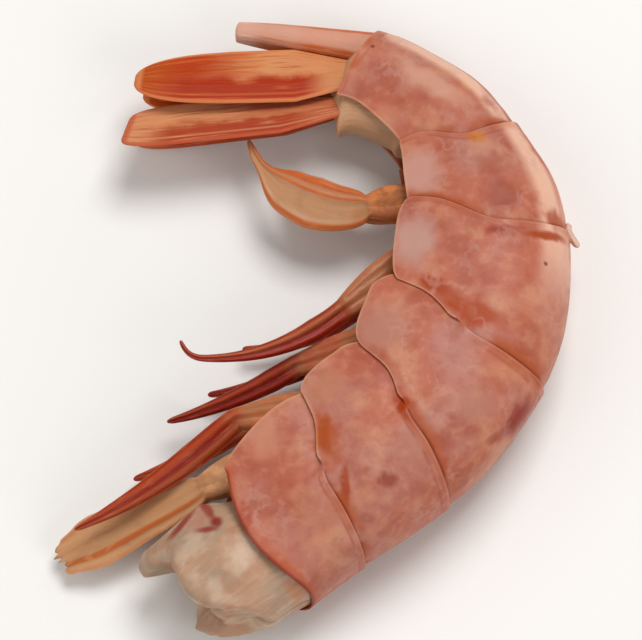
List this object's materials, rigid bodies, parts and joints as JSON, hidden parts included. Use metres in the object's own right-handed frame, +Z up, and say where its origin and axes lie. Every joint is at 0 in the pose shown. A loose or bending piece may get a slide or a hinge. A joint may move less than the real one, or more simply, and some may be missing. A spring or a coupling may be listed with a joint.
{
  "type": "shrimp tail",
  "caption": "Raw shrimp tail without its head, in its shell, lying curled on its side with its swimming legs and tail fan spread.",
  "frame": {"origin": "the middle of the whole tail's outline seen from above, on the surface that it rests on", "axes": "+Z up, out of the animal's right side; +Y along the curl's longest extent, from the torn neck's side to the tail fan's side; +X towards the back of the curl, with the legs on the -X side"},
  "size_m": [0.063, 0.0771, 0.0173],
  "materials": {
    "meat": "moist, translucent raw flesh",
    "shell": "moist, thin translucent shell",
    "legs": "moist, thin skin over flesh",
    "fan": "moist, ribbed thin shell"
  },
  "bodies": {
    "root": {"meat": "meat", "shell_1": "shell", "shell_2": "shell", "shell_3": "shell", "shell_4": "shell", "shell_5": "shell", "shell_6": "shell", "leg_right_1": "legs", "leg_right_2": "legs", "leg_right_3": "legs", "leg_right_4": "legs", "leg_right_5": "legs", "leg_left_1": "legs", "leg_left_2": "legs", "leg_left_3": "legs", "leg_left_4": "legs", "leg_left_5": "legs", "telson": "fan", "fan_inner_right": "fan", "fan_outer_right": "fan", "fan_inner_left": "fan", "fan_outer_left": "fan", "shred": "meat"}
  },
  "joints": []
}
